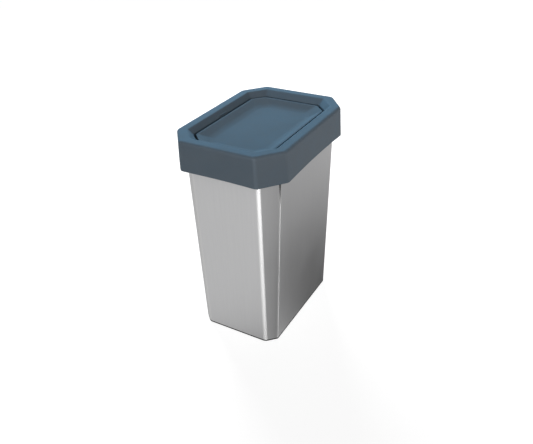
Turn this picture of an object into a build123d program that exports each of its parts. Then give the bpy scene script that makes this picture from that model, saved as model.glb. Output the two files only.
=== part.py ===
from build123d import *
import math
import os

# Swing-lid trash can, in millimetres.
# The origin is the middle of the footprint on the floor, +Z is up, the narrow front faces -Y.
# Every level section is a rectangle with its four corners cut off.

# Steel can: half sizes and corner cut of its outer section, at the floor and at the skirt's height
CAN_BASE_HALF = (76.8, 115.4)
CAN_SKIRT_HALF = (88.6, 123.4)
CAN_BASE_CUT = 16.9
CAN_SKIRT_CUT = 26.2
SHEET = 0.8
FOLD_RADIUS = 9.0
SEAM_RADIUS = 1.0
SEAM_GAP = 0.3
LAP_WIDTH = 12.0
LAP_CLEAR_OF_PAN = 5.0
LAP_CLEAR_OF_TRIM = 2.0
STEEL_BOTTOM = 2.8
STEEL_TOP = 372.0

# Hood: outer half sizes and corner cuts at its top and at the skirt's lower edge, and its heights
HOOD_TOP_HALF = (100.0, 140.0)
HOOD_TOP_CUT = (32.5, 40.0)
HOOD_SKIRT_HALF = (103.2, 140.0)
HOOD_SKIRT_CUT = (33.6, 41.4)
HOOD_TOP = 380.0
SKIRT_BOTTOM = 328.0
HOOD_WALL = 2.5
HOOD_EDGE_RADIUS = 5.0
HOOD_CORNER_RADIUS = 9.0
# Shallow arches under the skirt: half span and rise
ARCH_LONG = (95.0, 3.0)
ARCH_SHORT = (62.0, 1.0)

# Opening in the hood: where the rim ends, and the level neck that the flap fills
RIM_INNER_HALF = (82.3, 122.5)
RIM_INNER_CUT = (25.0, 28.0)
RIM_CORNER_RADIUS = 4.0
RIM_INNER_RADIUS = 1.5
NECK_HALF = (75.3, 111.6)
NECK_CUT = (22.0, 21.5)
NECK_CORNER_RADIUS = 3.0
NECK_TOP = HOOD_TOP - 9.0
NECK_BOTTOM = NECK_TOP - 22.0
NECK_WALL = 2.4

# Flap: running gap to the neck, level edge, sloped sides and sunken floor
FLAP_GAP = 4.1
FLAP_CORNER_RADIUS = 2.5
FLAP_TOP = NECK_TOP
FLAP_LAND = 3.0
FLAP_FLOOR_HALF = (52.0, 90.0)
FLAP_FLOOR_CUT = (15.0, 18.0)
FLAP_FLOOR_TOP = FLAP_TOP - 9.0
FLAP_DISH_RADIUS = 4.0
FLAP_HOLLOW_RADIUS = 2.0
FLAP_WALL = 2.2
FLAP_DEPTH = 15.0
FLAP_RIB = 1.6
FLAP_RIB_RAISED = 2.0
FLAP_CROSS_RIBS = (-72.0, -36.0, 0.0, 36.0, 72.0)
FLAP_LONG_RIBS = (-34.0, 0.0, 34.0)

# Pivot: a stub pin each side, turning in a bearing block that slides into the hood from below
PIVOT_Z = FLAP_TOP - 6.0
PIN_RADIUS = 2.5
PIN_INNER_X = 65.3
PIN_OUTER_X = 85.5
PIN_CLEARANCE = 0.05
PIN_CHAMFER = 0.6
BOSS_RADIUS = 5.5
BOSS_BACKING = 4.0
BLOCK_X = (78.1, 86.5)
BLOCK_HALF_WIDTH = 7.0
BLOCK_BOTTOM = PIVOT_Z - 12.0
BLOCK_TOP = PIVOT_Z + 5.5
BLOCK_SHOULDER = 2.0
BLOCK_FIT = 0.1
RAIL_THICKNESS = 2.0
RAIL_GROOVE = 1.2
RAIL_TONGUE = 1.0
RAIL_CAP = 3.0
SLOT_HALF_WIDTH = 3.3

# Stops: a finger on the flap meets a shoulder on the neck at each end of the swing
SWING_LIMIT = 80.0
STOP_CLEARANCE = 0.3
FINGER_HALF_WIDTH = 1.5
FINGER_REACH = 8.0
FINGER_PROUD = 3.1
SHOULDER_PROUD = 2.4
SHOULDER_HEIGHT = 3.0
SHOULDER_RANGE = (3.7, 9.0)

# Rim trim, floor and base
TRIM_WALL = 1.5
TRIM_DROP = 10.0
TRIM_TOP = STEEL_TOP + TRIM_WALL
SEAT_CLEARANCE = 0.3
GUIDE_CLEARANCE = 0.6
GUIDE_THICKNESS = 2.0
GUIDE_BOTTOM = HOOD_TOP - 28.0
GUIDE_LEAD = (2.0, 6.0)
GUIDE_LONG_Y = (-70.0, -28.0, 28.0, 70.0)
GUIDE_SHORT_X = (-40.0, 40.0)
BASE_BOTTOM = 0.8
BASE_FLANGE_WIDTH = 20.0
BASE_UPSTAND = 10.0
BASE_WALL = 2.0
BASE_INNER_CUT = 34.0
PAN_FLANGE = 10.0
PAN_PANEL_INSET = 24.0
PAN_PANEL_RISE = 3.0
PAN_PANEL_CUT = 18.0
FOOT_CENTRE = (62.0, 97.0)
FOOT_RADIUS = 7.5
FOOT_SUNK = 0.8

# How far cutting solids reach past the object, and how far added ones reach into a wall
BEYOND = 400.0
EVERYWHERE = (-BEYOND, BEYOND)
BITE = 0.5


def octagon(half, cut, z, radius=0.0, seam_radius=None):
    """Level face: a rectangle with cut corners, its corners rounded, at height z.

    seam_radius, where given, replaces radius on the two folds that carry the can's seams.
    """
    hx, hy = half
    cx, cy = cut
    points = [
        (hx, -hy + cy), (hx, hy - cy), (hx - cx, hy), (-hx + cx, hy),
        (-hx, hy - cy), (-hx, -hy + cy), (-hx + cx, -hy), (hx - cx, -hy),
    ]
    face = make_face(Polyline(*points, close=True))
    seam_points = points[0], points[5]
    if seam_radius is not None:
        seams = [v for v in face.vertices() if any(math.dist((v.X, v.Y), p) < 0.01 for p in seam_points)]
        face = fillet(seams, seam_radius)
        plain = [v for v in face.vertices() if any(math.dist((v.X, v.Y), p) < 0.01 for p in points)]
        face = fillet(plain, radius)
    elif radius > 0:
        face = fillet(face.vertices(), radius)
    return Pos(0, 0, z) * face


def grown(half, cut, amount):
    """Half sizes and corner cuts of the same shape with every side moved out by amount."""
    hx, hy = half
    cx, cy = cut
    reach = cy * hx + cx * hy - cx * cy + amount * math.hypot(cx, cy)
    scale = (cy * (hx + amount) + cx * (hy + amount) - reach) / (cx * cy)
    return (hx + amount, hy + amount), (cx * scale, cy * scale)


def prism(half, cut, low, high, radius=0.0):
    """Upright solid with the cut-corner section, from height low to height high."""
    return extrude(octagon(half, cut, low, radius), high - low)


def taper(lower, upper, low, high, radii=(0.0, 0.0)):
    """Solid between a lower section at height low and an upper one at height high."""
    return loft([octagon(*lower, low, radii[0]), octagon(*upper, high, radii[1])], ruled=True)


def can_section(z, inset=0.0):
    """Outer section of the tapering can at height z, moved in by inset."""
    share = z / SKIRT_BOTTOM
    half = tuple(a + (b - a) * share for a, b in zip(CAN_BASE_HALF, CAN_SKIRT_HALF))
    cut = CAN_BASE_CUT + (CAN_SKIRT_CUT - CAN_BASE_CUT) * share
    return grown(half, (cut, cut), -inset)


def can_solid(low, high, inset=0.0):
    """Solid filling the can from height low to height high, moved in by inset."""
    faces = []
    for z in (low, high):
        half, cut = can_section(z, inset)
        faces.append(octagon(half, cut, z, FOLD_RADIUS - inset, SEAM_RADIUS))
    return loft(faces, ruled=True)


def hood_section(z, inset=0.0):
    """Outer section of the hood at height z, moved in by inset. Only the long sides have a draft."""
    share = (HOOD_TOP - z) / (HOOD_TOP - SKIRT_BOTTOM)
    half = tuple(a + (b - a) * share for a, b in zip(HOOD_TOP_HALF, HOOD_SKIRT_HALF))
    cut = tuple(a + (b - a) * share for a, b in zip(HOOD_TOP_CUT, HOOD_SKIRT_CUT))
    return grown(half, cut, -inset)


def flap_section(inset=0.0):
    """Section of the flap's edge, an even running gap smaller than the neck, moved in by inset."""
    return grown(NECK_HALF, NECK_CUT, -FLAP_GAP - inset)


def slab(x_range, y_range, z_range):
    """Box between three pairs of coordinates."""
    lows, highs = zip(x_range, y_range, z_range)
    size = [b - a for a, b in zip(lows, highs)]
    middle = [(a + b) / 2 for a, b in zip(lows, highs)]
    return Pos(*middle) * Box(*size)


def seam_y(z):
    """Y of the two folds where the front sheet meets the rear one, at height z."""
    half, cut = can_section(z)
    return -half[1] + cut[1]


def sheet_ring(low, high, inset=0.0):
    """One thickness of sheet following the can's walls."""
    return can_solid(low, high, inset) - can_solid(low, high, inset + SHEET)


def front_panel():
    """Front sheet: the narrow front and the two front corner faces."""
    edge = seam_y(STEEL_TOP) - SEAM_GAP / 2
    return sheet_ring(STEEL_BOTTOM, STEEL_TOP) & slab(EVERYWHERE, (-BEYOND, edge), EVERYWHERE)


def rear_wrap():
    """Rear sheet: both sides, the back, and a joggled lap behind each front corner face."""
    edge = seam_y(STEEL_TOP) + SEAM_GAP / 2
    wrap = sheet_ring(STEEL_BOTTOM, STEEL_TOP) & slab(EVERYWHERE, (edge, BEYOND), EVERYWHERE)
    lap_low = STEEL_BOTTOM + BASE_UPSTAND + PAN_FLANGE + LAP_CLEAR_OF_PAN
    lap_high = STEEL_TOP - TRIM_DROP - LAP_CLEAR_OF_TRIM
    lap = sheet_ring(lap_low, lap_high, SHEET)
    wrap += lap & slab(EVERYWHERE, (edge - LAP_WIDTH, edge + 3 * SHEET), EVERYWHERE)
    return wrap


def rim_trim():
    """Channel moulding pressed over the raw top edge of both sheets."""
    low = STEEL_TOP - TRIM_DROP
    ring = can_solid(low, TRIM_TOP, -TRIM_WALL) - can_solid(low, TRIM_TOP, SHEET + TRIM_WALL)
    return ring - sheet_ring(low - 1, STEEL_TOP)


def floor_pan():
    """Pressed steel floor: a raised middle panel and a flange turned up against the walls."""
    low = STEEL_BOTTOM + BASE_UPSTAND
    pan = can_solid(low, low + PAN_FLANGE, SHEET) - can_solid(low + SHEET, low + PAN_FLANGE, 2 * SHEET)
    half, _ = can_section(low, PAN_PANEL_INSET)
    foot = (half, (PAN_PANEL_CUT, PAN_PANEL_CUT))
    crest = grown(*foot, -PAN_PANEL_RISE)
    radii = (FOLD_RADIUS, FOLD_RADIUS)
    pan += taper(foot, crest, low + SHEET, low + SHEET + PAN_PANEL_RISE, radii)
    return pan - taper(foot, crest, low, low + PAN_PANEL_RISE, radii)


def foot_places():
    """Name and centre of each of the four feet."""
    for side, x in (("left", -FOOT_CENTRE[0]), ("right", FOOT_CENTRE[0])):
        for end, y in (("front", -FOOT_CENTRE[1]), ("rear", FOOT_CENTRE[1])):
            yield f"foot_{end}_{side}", (x, y)


def foot_pad(centre, low, high):
    """Upright disc on the centre of one foot, from height low to height high."""
    return Pos(*centre, (low + high) / 2) * Cylinder(FOOT_RADIUS, high - low)


def base_ring():
    """Moulded base frame: flat flange under the steel edge, upstand inside it, foot recesses."""
    flange_top = STEEL_BOTTOM
    ring = can_solid(BASE_BOTTOM, flange_top)
    ring += can_solid(flange_top, flange_top + BASE_UPSTAND, SHEET)
    ring -= can_solid(flange_top, flange_top + BASE_UPSTAND, SHEET + BASE_WALL)
    half, _ = can_section(0, BASE_FLANGE_WIDTH)
    ring -= prism(half, (BASE_INNER_CUT, BASE_INNER_CUT), BASE_BOTTOM, flange_top, FOLD_RADIUS)
    for _, centre in foot_places():
        ring -= foot_pad(centre, BASE_BOTTOM - 1, BASE_BOTTOM + FOOT_SUNK)
    return ring


def foot(centre):
    """Self-adhesive rubber foot, sunk into its recess in the base flange."""
    return foot_pad(centre, 0, BASE_BOTTOM + FOOT_SUNK)


def across_x(radius, low_x, high_x, y=0.0, z=PIVOT_Z):
    """Cylinder along X between two x values."""
    return Pos((low_x + high_x) / 2, y, z) * Rot(0, 90, 0) * Cylinder(radius, high_x - low_x)


def skirt_arch(half_span, rise):
    """Face of the shallow arch under a skirt wall, drawn in the XZ plane."""
    left = (-half_span, SKIRT_BOTTOM)
    right = (half_span, SKIRT_BOTTOM)
    arch = ThreePointArc(left, (0, SKIRT_BOTTOM + rise), right)
    return Plane.XZ * make_face([arch, Line(right, left)])


def guide_fin(across):
    """Fin under the rim that centres the hood on the can, for the sides (across 0) or the ends (1).

    Its root is in the middle of the hood's wall. Its notch rests over the trim of the can.
    """
    trim_face = can_section(STEEL_TOP)[0][across] + TRIM_WALL
    inner = trim_face + GUIDE_CLEARANCE
    notch = trim_face - 3 * TRIM_WALL
    top = HOOD_TOP - HOOD_WALL / 2
    root_low = hood_section(GUIDE_BOTTOM, HOOD_WALL / 2)[0][across]
    root_top = hood_section(top, HOOD_WALL / 2)[0][across]
    seat = TRIM_TOP + SEAT_CLEARANCE
    lead_out, lead_up = GUIDE_LEAD
    outline = Polyline(
        (notch, seat), (inner, seat), (inner, GUIDE_BOTTOM + lead_up), (inner + lead_out, GUIDE_BOTTOM),
        (root_low, GUIDE_BOTTOM), (root_top, top), (notch, top), close=True)
    return extrude(Plane.XZ * make_face(outline), GUIDE_THICKNESS / 2, both=True)


def guide_fins():
    """All the fins: rows along the two long walls and the two short ones."""
    side_fin = guide_fin(0)
    end_fin = guide_fin(1)
    fins = []
    for turn in (0, 180):
        fins += [Rot(0, 0, turn) * Pos(0, y, 0) * side_fin for y in GUIDE_LONG_Y]
        fins += [Rot(0, 0, turn + 90) * Pos(0, x, 0) * end_fin for x in GUIDE_SHORT_X]
    return fins


def block_blank(growth=0.0, bottom=BLOCK_BOTTOM):
    """Outline solid of a bearing block: flat foot, shouldered top, a tongue along each side."""
    wide = BLOCK_HALF_WIDTH + growth
    top = BLOCK_TOP + growth
    narrow = wide - BLOCK_SHOULDER
    blank = slab(BLOCK_X, (-wide, wide), (bottom, top - BLOCK_SHOULDER))
    blank += slab(BLOCK_X, (-narrow, narrow), (PIVOT_Z, top))
    middle = sum(BLOCK_X) / 2
    tongue = RAIL_TONGUE + growth
    reach = wide + RAIL_GROOVE
    blank += slab((middle - tongue, middle + tongue), (-reach, reach), (BLOCK_BOTTOM, PIVOT_Z))
    return blank


def bearing_block(side):
    """Bearing block for one pin, its bore right through."""
    block = block_blank() - across_x(PIN_RADIUS + PIN_CLEARANCE, BLOCK_X[0] - 1, BLOCK_X[1] + 1)
    return block if side > 0 else Rot(0, 0, 180) * block


def pivot_housing():
    """Rails on the outside of the neck that take a bearing block from below, on the +X side."""
    outer = BLOCK_HALF_WIDTH + BLOCK_FIT + RAIL_GROOVE + RAIL_THICKNESS
    across = (NECK_HALF[0] + BITE, BLOCK_X[1])
    rails = slab(across, (-outer, outer), (BLOCK_BOTTOM + 1, BLOCK_TOP + RAIL_CAP))
    return rails - block_blank(BLOCK_FIT, NECK_BOTTOM - BLOCK_SHOULDER)


def stop_shoulder(sign):
    """Shoulder on the neck's inner face, met by the flap's finger at the end of its swing."""
    across = (NECK_HALF[0] - SHOULDER_PROUD, NECK_HALF[0] + BITE)
    low = FINGER_HALF_WIDTH + STOP_CLEARANCE
    bar = slab(across, SHOULDER_RANGE, (low, low + SHOULDER_HEIGHT))
    bar = Rot(SWING_LIMIT - 90, 0, 0) * bar
    if sign < 0:
        bar = mirror(bar, Plane.XZ)
    return Pos(0, 0, PIVOT_Z) * bar


def both_sides(solid):
    """A solid on the +X side and the same turned to the -X side."""
    return [solid, Rot(0, 0, 180) * solid]


def inside_rim(point):
    """Whether a point on the hood's top lies nearer its opening than its outer edge."""
    middle_x = (RIM_INNER_HALF[0] + HOOD_TOP_HALF[0] - HOOD_EDGE_RADIUS) / 2
    middle_y = (RIM_INNER_HALF[1] + HOOD_TOP_HALF[1] - HOOD_EDGE_RADIUS) / 2
    return abs(point.X) < middle_x and abs(point.Y) < middle_y


def hood_body():
    """Outer form of the hood with its hollow, closed at the top."""
    radii = (HOOD_CORNER_RADIUS, HOOD_CORNER_RADIUS)
    body = taper(hood_section(SKIRT_BOTTOM), hood_section(HOOD_TOP), SKIRT_BOTTOM, HOOD_TOP, radii)
    body = fillet(body.faces().sort_by(Axis.Z)[-1].edges(), HOOD_EDGE_RADIUS)
    ceiling = HOOD_TOP - HOOD_WALL
    low = hood_section(SKIRT_BOTTOM, HOOD_WALL)
    high = hood_section(ceiling, HOOD_WALL)
    radii = (HOOD_CORNER_RADIUS - HOOD_WALL, HOOD_CORNER_RADIUS - HOOD_WALL)
    return body - taper(low, high, SKIRT_BOTTOM, ceiling, radii)


def throat(wall, bottom):
    """Solid of the sloped throat and the level neck under it, its walls moved out by wall."""
    rim = grown(RIM_INNER_HALF, RIM_INNER_CUT, wall)
    neck = grown(NECK_HALF, NECK_CUT, wall)
    radii = (NECK_CORNER_RADIUS + wall, RIM_CORNER_RADIUS + wall)
    return taper(neck, rim, NECK_TOP, HOOD_TOP, radii) + prism(*neck, bottom, NECK_TOP, radii[0])


def pin_slot():
    """Slot in the neck's +X wall that the pin passes through when the block slides up."""
    across = (NECK_HALF[0] - 1, BLOCK_X[0] + BLOCK_FIT)
    slot = slab(across, (-SLOT_HALF_WIDTH, SLOT_HALF_WIDTH), (NECK_BOTTOM - 1, PIVOT_Z))
    return slot + across_x(SLOT_HALF_WIDTH, *across)


def hood_shell():
    """Moulded hood: skirt, rim, sloped throat, neck, guide fins, pivot housings and stops."""
    shell = hood_body() + throat(NECK_WALL, NECK_BOTTOM)
    for fin in guide_fins():
        shell += fin
    for housing in both_sides(pivot_housing()):
        shell += housing
    shell -= throat(0.0, NECK_BOTTOM - 1)
    rim_edges = [e for e in shell.edges() if e.center().Z > HOOD_TOP - 0.01 and inside_rim(e.center())]
    shell = fillet(rim_edges, RIM_INNER_RADIUS)
    for shoulder in both_sides(stop_shoulder(1)) + both_sides(stop_shoulder(-1)):
        shell += shoulder
    for slot in both_sides(pin_slot()):
        shell -= slot
    shell -= Rot(0, 0, 90) * extrude(skirt_arch(*ARCH_LONG), BEYOND, both=True)
    shell -= extrude(skirt_arch(*ARCH_SHORT), BEYOND, both=True)
    return shell


def flap_ribs():
    """Ribs under the flap's tray, crossing each other, as wide as the flap or wider."""
    heights = (FLAP_TOP - FLAP_DEPTH + FLAP_RIB_RAISED, FLAP_TOP)
    half_rib = FLAP_RIB / 2
    ribs = [slab(EVERYWHERE, (y - half_rib, y + half_rib), heights) for y in FLAP_CROSS_RIBS]
    ribs += [slab((x - half_rib, x + half_rib), EVERYWHERE, heights) for x in FLAP_LONG_RIBS]
    return ribs


def flap_hollow():
    """The open space under the flap's tray, between its rim wall, ribs and pin bosses."""
    bottom = FLAP_TOP - FLAP_DEPTH
    hollow = prism(*flap_section(FLAP_WALL), bottom, FLAP_TOP - FLAP_WALL, FLAP_HOLLOW_RADIUS)
    under_floor = grown(FLAP_FLOOR_HALF, FLAP_FLOOR_CUT, FLAP_WALL / 2)
    under_land = flap_section(FLAP_LAND - FLAP_WALL)
    radii = (FLAP_DISH_RADIUS, FLAP_DISH_RADIUS)
    hollow -= taper(under_floor, under_land, FLAP_FLOOR_TOP - FLAP_WALL, FLAP_TOP, radii)
    boss_end = flap_section(FLAP_WALL / 2)[0][0]
    bosses = both_sides(across_x(BOSS_RADIUS, PIN_INNER_X - BOSS_BACKING, boss_end))
    for kept in flap_ribs() + bosses:
        hollow -= kept
    return hollow


def flap_panel():
    """Moulded flap: level edge, dished tray, deep rim wall, ribs below, pin bosses and fingers."""
    panel = prism(*flap_section(), FLAP_TOP - FLAP_DEPTH, FLAP_TOP, FLAP_CORNER_RADIUS)
    radii = (FLAP_DISH_RADIUS, FLAP_DISH_RADIUS)
    floor = (FLAP_FLOOR_HALF, FLAP_FLOOR_CUT)
    panel -= taper(floor, flap_section(FLAP_LAND), FLAP_FLOOR_TOP, FLAP_TOP, radii)
    panel -= flap_hollow()
    edge_x = flap_section()[0][0]
    finger = slab(
        (edge_x - BITE, edge_x + FINGER_PROUD),
        (-FINGER_HALF_WIDTH, FINGER_HALF_WIDTH),
        (PIVOT_Z - FINGER_REACH, PIVOT_Z))
    for side in both_sides(finger):
        panel += side
    for bore in both_sides(across_x(PIN_RADIUS, PIN_INNER_X, edge_x + FINGER_PROUD + 1)):
        panel -= bore
    return panel


def pivot_pin(side):
    """Steel stub pin pressed into the flap, its outer end chamfered."""
    pin = across_x(PIN_RADIUS, PIN_INNER_X, PIN_OUTER_X)
    pin = chamfer(pin.edges().sort_by(Axis.X)[-1], PIN_CHAMFER)
    return pin if side > 0 else Rot(0, 0, 180) * pin


def build_parts():
    """Every piece of the can, keyed by its name."""
    pieces = {
        "front_panel": front_panel(),
        "rear_wrap": rear_wrap(),
        "rim_trim": rim_trim(),
        "floor_pan": floor_pan(),
        "base_ring": base_ring(),
        "hood_shell": hood_shell(),
        "flap_panel": flap_panel(),
    }
    for name, centre in foot_places():
        pieces[name] = foot(centre)
    for side, sign in (("left", -1), ("right", 1)):
        pieces[f"pivot_pin_{side}"] = pivot_pin(sign)
        pieces[f"bearing_block_{side}"] = bearing_block(sign)
    return pieces


os.makedirs("parts", exist_ok=True)
for name, solid in build_parts().items():
    export_step(solid, f"parts/{name}.step")
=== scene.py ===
"""Swing-lid trash can: the finished looks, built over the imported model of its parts."""

import logging
import math
from contextlib import contextmanager
from dataclasses import dataclass, field, replace
from enum import Enum
from typing import Any, Callable, Iterator

import bmesh
import bpy
from mathutils import Matrix, Vector


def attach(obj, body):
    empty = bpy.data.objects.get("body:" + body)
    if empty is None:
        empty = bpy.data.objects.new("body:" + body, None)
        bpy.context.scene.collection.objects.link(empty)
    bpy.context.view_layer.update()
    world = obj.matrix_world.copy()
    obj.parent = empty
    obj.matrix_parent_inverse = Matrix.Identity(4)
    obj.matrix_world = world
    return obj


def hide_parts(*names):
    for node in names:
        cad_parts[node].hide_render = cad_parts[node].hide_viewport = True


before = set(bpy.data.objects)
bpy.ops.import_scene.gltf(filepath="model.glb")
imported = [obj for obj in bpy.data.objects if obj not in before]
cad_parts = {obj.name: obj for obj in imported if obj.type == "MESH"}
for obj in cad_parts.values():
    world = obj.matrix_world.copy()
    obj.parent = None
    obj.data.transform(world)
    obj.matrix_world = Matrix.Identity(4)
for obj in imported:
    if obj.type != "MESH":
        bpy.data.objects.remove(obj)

# Sizes are in millimetres and angles in degrees, and this turns millimetres into metres
MM = 0.001

# How an outline is drawn: facets of a corner, cuts of a side, distance before bridging, least radius
CORNER_SEGMENTS = 6
SIDE_CUTS = 15
LOOP_SPACING = 60.0
LEAST_RADIUS = 0.3

# Facets of a cylinder, and how far a cutting tool runs past what it opens
ROUND_FACETS = 48
CLEAR = 1.0

# Smooth shading: the angle up to which it goes, and how far large faces outweigh small ones
SMOOTH_ANGLE = 40
FLAT_WEIGHT = 80

# How far off a place may lie: from an outline, for each millimetre of its radius, and from a height
ROUNDING_SLACK = 0.12
TOUCH = 0.02

log = logging.getLogger("trash_can")
Piece = bpy.types.Object
Material = bpy.types.Material
Socket = bpy.types.NodeSocket
Pair = tuple[float, float]
Triple = tuple[float, float, float]
Point = Triple | Vector
Test = Callable[[Vector], bool]
Colour = Triple | Socket


class Body(Enum):
    """The bodies that the pieces ride on."""

    CAN = "can"
    HOOD = "hood"
    FLAP = "flap"


class Slot(Enum):
    """The record's material slots, one given with each new piece."""

    CAN_STEEL = "can_steel"
    HOOD_PLASTIC = "hood_plastic"
    FLAP_PLASTIC = "flap_plastic"
    TRIM_PLASTIC = "trim_plastic"
    BASE_PLASTIC = "base_plastic"
    FOOT_RUBBER = "foot_rubber"


class Join(Enum):
    """Ways in which a tool solid changes a piece."""

    ADD = "UNION"
    CUT = "DIFFERENCE"


class Half(Enum):
    """The part of a piece that a cut across it keeps."""

    ABOVE = 1
    BOTH = 0
    BELOW = -1


class Glow(Enum):
    """What a lamp adds: light on everything, a gleam on everything, or a gleam on the steel alone."""

    LIGHT = "light"
    GLEAM = "gleam"
    STEEL_GLEAM = "steel_gleam"


# Outlines


def blend(first: Pair, last: Pair, share: float) -> Pair:
    """A pair of numbers that lies a share of the way from one pair to another."""
    return tuple(a + (b - a) * share for a, b in zip(first, last))


@dataclass(frozen=True)
class Outline:
    """Level outline of the can, hood and flap: a rectangle with its four corners cut off.

    Sizes are in millimetres. seam_radius, where given, rounds the two folds that carry the seams.
    """

    half: Pair
    cut: Pair
    radius: float
    seam_radius: float | None = None

    def reach(self) -> float:
        """The level of a corner cut's line, cut_y * x + cut_x * y."""
        (hx, hy), (cx, cy) = self.half, self.cut
        return cy * hx + cx * hy - cx * cy

    def grown(self, amount: float, radius: float | None = None) -> "Outline":
        """The outline with every side moved out.

        Args:
            amount: how far the sides move, negative inwards.
            radius: the new rounding, or None to move it with the sides.

        Returns:
            The new outline.
        """
        (hx, hy), (cx, cy) = self.half, self.cut
        reach = self.reach() + amount * math.hypot(cx, cy)
        scale = (cy * (hx + amount) + cx * (hy + amount) - reach) / (cx * cy)
        rounding = max(self.radius + amount, LEAST_RADIUS) if radius is None else radius
        return Outline((hx + amount, hy + amount), (cx * scale, cy * scale), rounding, self.seam_radius)

    def blended(self, other: "Outline", share: float) -> "Outline":
        """The outline that lies a share of the way from this one to another."""
        half, cut = blend(self.half, other.half, share), blend(self.cut, other.cut, share)
        return Outline(half, cut, self.radius + (other.radius - self.radius) * share, self.seam_radius)

    def depths(self, x: float, y: float) -> Triple:
        """How far a point lies outside the outline.

        Args:
            x: the point's x in millimetres.
            y: the point's y.

        Returns:
            Its distances from the nearest side, end and corner cut, negative inside.
        """
        (hx, hy), (cx, cy) = self.half, self.cut
        slanted = (cy * abs(x) + cx * abs(y) - self.reach()) / math.hypot(cx, cy)
        return abs(x) - hx, abs(y) - hy, slanted

    def carries(self, point: Vector) -> bool:
        """Whether a point, in millimetres, lies on the rounded outline."""
        slack = ROUNDING_SLACK * self.radius + TOUCH
        return -slack < max(self.depths(point.x, point.y)) < TOUCH

    def corners(self) -> list[tuple[list[Vector], float]]:
        """The sharp corners in groups that are rounded alike.

        Returns:
            Pairs of a list of corners and the length that the rounding takes from each side there.
        """
        (hx, hy), (cx, cy) = self.half, self.cut
        side_turn = math.atan2(cx, cy)
        end_turn = math.atan2(cy, cx)
        rear = [Vector((x, hy - cy)) for x in (-hx, hx)]
        front = [Vector((x, cy - hy)) for x in (-hx, hx)]
        ends = [Vector((x, y)) for x in (cx - hx, hx - cx) for y in (-hy, hy)]
        seam = self.radius if self.seam_radius is None else self.seam_radius
        return [
            (rear, self.radius * math.tan(side_turn / 2)),
            (front, seam * math.tan(side_turn / 2)),
            (ends, self.radius * math.tan(end_turn / 2)),
        ]


Ring = tuple[Outline, float]


@dataclass(frozen=True)
class Taper:
    """Outer form whose outline changes evenly from one height to another."""

    first: Outline
    last: Outline
    heights: Pair

    def section(self, height: float, inset: float = 0.0) -> Outline:
        """Section of the form.

        Args:
            height: height of the section in millimetres.
            inset: how far it is moved in.

        Returns:
            The outline.
        """
        start, end = self.heights
        outline = self.first.blended(self.last, (height - start) / (end - start))
        return outline.grown(-inset) if inset else outline

    def ring(self, height: float, inset: float = 0.0) -> Ring:
        """Section of the form together with its height."""
        return self.section(height, inset), height


NECK = Outline((75.3, 111.6), (22.0, 21.5), 3.0)
RUNNING_GAP = 4.1


# Hand tools: each wraps the operators of one modelling step


def clear_selection() -> None:
    """Deselects everything in the scene."""
    if bpy.context.mode != "OBJECT":
        bpy.ops.object.mode_set(mode="OBJECT")
    bpy.ops.object.select_all(action="DESELECT")


def take(piece: Piece) -> None:
    """Selects one object alone and makes it the active one.

    Args:
        piece: the object.
    """
    clear_selection()
    piece.select_set(True)
    bpy.context.view_layer.objects.active = piece


def settle() -> Piece:
    """Puts the place, turn and scale of the active object into its mesh and returns the object."""
    bpy.ops.object.transform_apply(location=True, rotation=True, scale=True)
    return bpy.context.object


@contextmanager
def editing(piece: Piece) -> Iterator[None]:
    """Opens an object in edit mode with nothing selected and closes it again.

    Args:
        piece: the object.

    Returns:
        A context in which the object is open.
    """
    take(piece)
    bpy.ops.object.mode_set(mode="EDIT")
    bpy.ops.mesh.select_mode(type="VERT")
    bpy.ops.mesh.select_all(action="DESELECT")
    yield
    bpy.ops.object.mode_set(mode="OBJECT")


def pick(piece: Piece, kind: str, test: Test) -> None:
    """Selects elements of the mesh in edit mode by their place.

    Args:
        piece: the object in edit mode.
        kind: "VERT", "EDGE" or "FACE".
        test: takes a place in millimetres: a vertex's, both ends' of an edge, or a face's middle.
    """
    bpy.ops.mesh.select_mode(type=kind)
    bpy.ops.mesh.select_all(action="DESELECT")
    mesh = bmesh.from_edit_mesh(piece.data)
    if kind == "VERT":
        for vertex in mesh.verts:
            vertex.select = test(vertex.co / MM)
    elif kind == "EDGE":
        for edge in mesh.edges:
            edge.select = all(test(vertex.co / MM) for vertex in edge.verts)
    else:
        for face in mesh.faces:
            face.select = test(face.calc_center_median() / MM)
    mesh.select_flush_mode()
    bmesh.update_edit_mesh(piece.data)


def bevel(piece: Piece, test: Test, width: float, segments: int = 3) -> None:
    """Rounds the edges that pass a test.

    Args:
        piece: the object.
        test: takes a vertex's place in millimetres.
        width: radius of the rounding in millimetres.
        segments: facets across the rounding.
    """
    with editing(piece):
        pick(piece, "EDGE", test)
        bpy.ops.mesh.bevel(
            affect="EDGES", offset_type="OFFSET", offset=width * MM, segments=segments, profile=0.5)


def bevel_rings(piece: Piece, *rings: tuple[Outline, float, float, int]) -> None:
    """Rounds edges along outlines, each given with its height, the radius and the number of facets."""
    for outline, height, radius, segments in rings:
        bevel(piece, lambda v: abs(v.z - height) < TOUCH and outline.carries(v), radius, segments)


def shift(piece: Piece, test: Test, move: Point) -> None:
    """Moves the vertices that pass a test.

    Args:
        piece: the object.
        test: takes a vertex's place in millimetres.
        move: the move in millimetres.
    """
    with editing(piece):
        pick(piece, "VERT", test)
        bpy.ops.transform.translate(value=Vector(move) * MM)


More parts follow.
